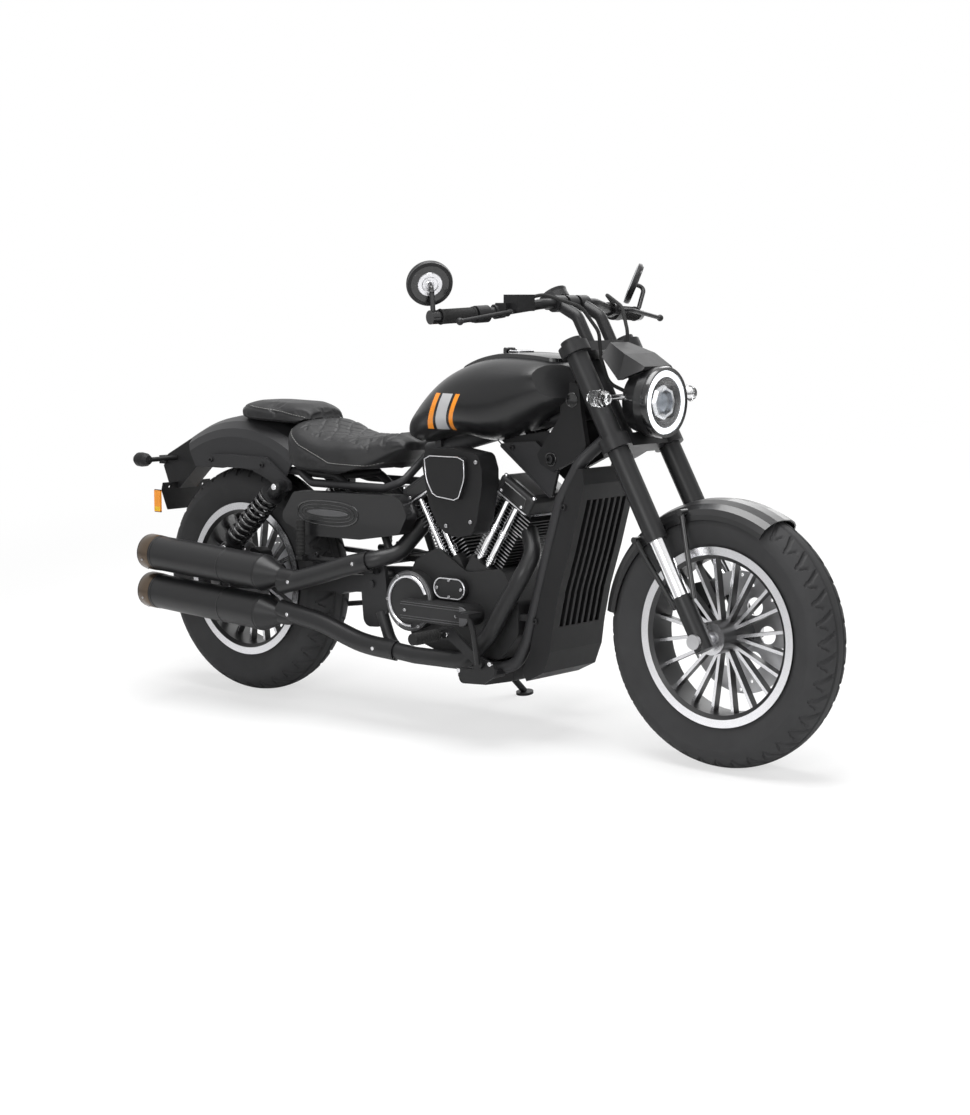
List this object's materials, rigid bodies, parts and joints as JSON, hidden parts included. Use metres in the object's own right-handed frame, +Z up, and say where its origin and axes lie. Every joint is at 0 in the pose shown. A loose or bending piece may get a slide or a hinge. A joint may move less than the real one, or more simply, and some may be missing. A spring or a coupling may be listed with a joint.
{
  "type": "cruiser motorcycle",
  "caption": "Low black cruiser motorcycle with a V-twin, stacked silencers and cast wheels, leaning on its side stand; wheels turn and the fork steers.",
  "frame": {"origin": "middle of the bounding box at floor level, the machine leaning on its side stand", "axes": "+X forward, +Y to the rider's left, +Z up; the machine leans 8 degrees towards +Y"},
  "size_m": [2.307, 0.902, 1.2563],
  "materials": {
    "tyre": "matt black rubber",
    "rim_black": "satin black cast wheel with bright machined edges",
    "disc_steel": "ground steel with a dark carrier",
    "black_metal": "satin black paint",
    "chrome": "polished",
    "steel": "plain machined steel",
    "body_black": "satin near-black paint",
    "lamp_lens": "clear",
    "black_plastic": "grained black",
    "rubber": "matt black rubber",
    "frame_grey": "dark grey paint",
    "engine_black": "black wrinkle paint",
    "fins": "black fins with bright edges",
    "radiator_core": "black finned core",
    "silencer_black": "heat-proof satin black with bronze end caps",
    "trim_gloss": "gloss black",
    "leather": "grained black with pale stitching",
    "red_lens": "red lens",
    "amber_lens": "amber lens"
  },
  "bodies": {
    "chassis": {"frame_backbone": "frame_grey", "frame_cradle": "frame_grey", "frame_rails": "frame_grey", "swingarm": "frame_grey", "rear_axle": "steel", "rear_shocks": "black_metal", "shock_springs": "black_metal", "rear_caliper": "black_metal", "drive_chain": "steel", "crankcase": "engine_black", "cylinders": "fins", "pushrod_tubes": "chrome", "air_cleaner": "engine_black", "engine_covers": "engine_black", "radiator": "radiator_core", "radiator_shroud": "black_plastic", "belly_pan": "black_plastic", "silencers": "silencer_black", "exhaust_pipes": "silencer_black", "fuel_tank": "body_black", "tank_trim": "trim_gloss", "neck_covers": "black_plastic", "rider_seat": "leather", "pillion_seat": "leather", "rear_fender": "body_black", "fender_struts": "black_metal", "side_covers": "black_plastic", "plate_bracket": "black_plastic", "rear_lamps": "red_lens", "reflectors": "amber_lens", "foot_controls": "black_metal", "passenger_hangers": "black_metal"},
    "steering": {"fork_tubes": "black_metal", "fork_stanchions": "chrome", "fork_yokes": "black_metal", "front_axle": "steel", "front_fender": "body_black", "headlamp_shell": "black_metal", "headlamp_lens": "lamp_lens", "headlamp_cowl": "body_black", "front_indicators": "black_plastic", "handlebar": "black_metal", "grips": "rubber", "mirrors": "black_metal", "hand_controls": "black_plastic", "front_caliper": "black_metal", "front_cables": "rubber"},
    "front_wheel": {"front_tyre": "tyre", "front_rim": "rim_black", "front_disc": "disc_steel"},
    "rear_wheel": {"rear_tyre": "tyre", "rear_rim": "rim_black", "rear_disc_and_sprocket": "disc_steel"},
    "fuel_cap": {"fuel_cap": "black_metal"},
    "rider_peg_right": {"rider_peg_right": "rubber"},
    "rider_peg_left": {"rider_peg_left": "rubber"},
    "passenger_peg_right": {"passenger_peg_right": "rubber"},
    "passenger_peg_left": {"passenger_peg_left": "rubber"},
    "side_stand": {"side_stand": "black_metal"}
  },
  "joints": [
    {"name": "steering_turn", "type": "hinge", "parent": "chassis", "child": "steering", "pos_m": [0.52793, -0.05558, 0.76124], "axis": [-0.4924, 0.1211, 0.8619], "range_deg": [-36, 36]},
    {"name": "front_wheel_spin", "type": "hinge", "parent": "steering", "child": "front_wheel", "pos_m": [0.8335, -0.11803, 0.3169], "axis": [0, 0.9903, -0.1392], "continuous": true},
    {"name": "rear_wheel_spin", "type": "hinge", "parent": "chassis", "child": "rear_wheel", "pos_m": [-0.7795, -0.11761, 0.31988], "axis": [0, 0.9903, -0.1392], "continuous": true},
    {"name": "side_stand_fold", "type": "hinge", "parent": "chassis", "child": "side_stand", "pos_m": [-0.0795, 0.01183, 0.17747], "axis": [0.2299, 0.8159, 0.5306], "range_deg": [0, 106.8]},
    {"name": "fuel_cap_open", "type": "hinge", "parent": "chassis", "child": "fuel_cap", "pos_m": [0.156, -0.02478, 0.98038], "axis": [0, -0.9903, 0.1392], "range_deg": [0, 90]},
    {"name": "rider_peg_right_fold", "type": "hinge", "parent": "chassis", "child": "rider_peg_right", "pos_m": [0.1065, -0.33663, 0.29915], "axis": [-1, 0, 0], "range_deg": [0, 60]},
    {"name": "passenger_peg_right_fold", "type": "hinge", "parent": "chassis", "child": "passenger_peg_right", "pos_m": [-0.4345, -0.27444, 0.43987], "axis": [1, 0, 0], "range_deg": [0, 90]},
    {"name": "rider_peg_left_fold", "type": "hinge", "parent": "chassis", "child": "rider_peg_left", "pos_m": [0.1065, 0.08721, 0.23959], "axis": [1, 0, 0], "range_deg": [0, 60]},
    {"name": "passenger_peg_left_fold", "type": "hinge", "parent": "chassis", "child": "passenger_peg_left", "pos_m": [-0.4345, 0.06621, 0.39199], "axis": [-1, 0, 0], "range_deg": [0, 90]}
  ]
}
